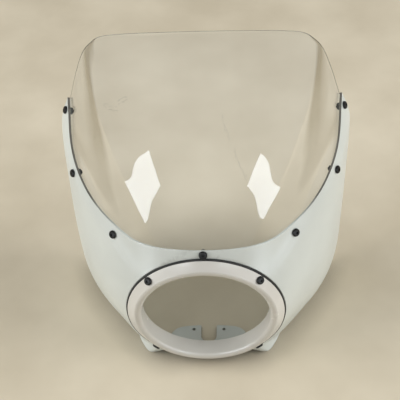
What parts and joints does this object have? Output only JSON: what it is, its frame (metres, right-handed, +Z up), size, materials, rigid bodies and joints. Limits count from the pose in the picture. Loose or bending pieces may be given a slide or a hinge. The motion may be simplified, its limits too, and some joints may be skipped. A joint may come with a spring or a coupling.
{
  "type": "headlight cowl",
  "caption": "Glossy white headlight cowl with a round lamp opening in a screwed trim ring and a tall clear bubble screen tucked inside the shell's curved upper edge",
  "frame": {"origin": "centre of the lamp opening, in the plane of the ring's rear face where it seats over the gasket", "axes": "X to the right seen from the front, Y to the rear along the axis of the lamp opening, Z up"},
  "size_m": [0.3586, 0.2101, 0.3626],
  "materials": {
    "white_shell": "gloss",
    "clear_screen": "polished",
    "white_ring": "gloss",
    "black_rubber": "matt",
    "black_screws": "satin black",
    "dark_nuts": "satin"
  },
  "bodies": {
    "root": {"cowl_shell": "white_shell", "windscreen": "clear_screen", "headlight_ring": "white_ring", "ring_gasket": "black_rubber", "screen_screw_centre": "black_screws", "screen_screw_low_left": "black_screws", "screen_screw_low_right": "black_screws", "screen_screw_mid_left": "black_screws", "screen_screw_mid_right": "black_screws", "screen_screw_horn_left": "black_screws", "screen_screw_horn_right": "black_screws", "screen_nut_centre": "dark_nuts", "screen_nut_low_left": "dark_nuts", "screen_nut_low_right": "dark_nuts", "screen_nut_mid_left": "dark_nuts", "screen_nut_mid_right": "dark_nuts", "screen_nut_horn_left": "dark_nuts", "screen_nut_horn_right": "dark_nuts", "ring_screw_lower_right": "black_screws", "ring_screw_lower_left": "black_screws", "ring_screw_upper_left": "black_screws", "ring_screw_upper_right": "black_screws", "ring_nut_lower_right": "dark_nuts", "ring_nut_lower_left": "dark_nuts", "ring_nut_upper_left": "dark_nuts", "ring_nut_upper_right": "dark_nuts"}
  },
  "joints": []
}
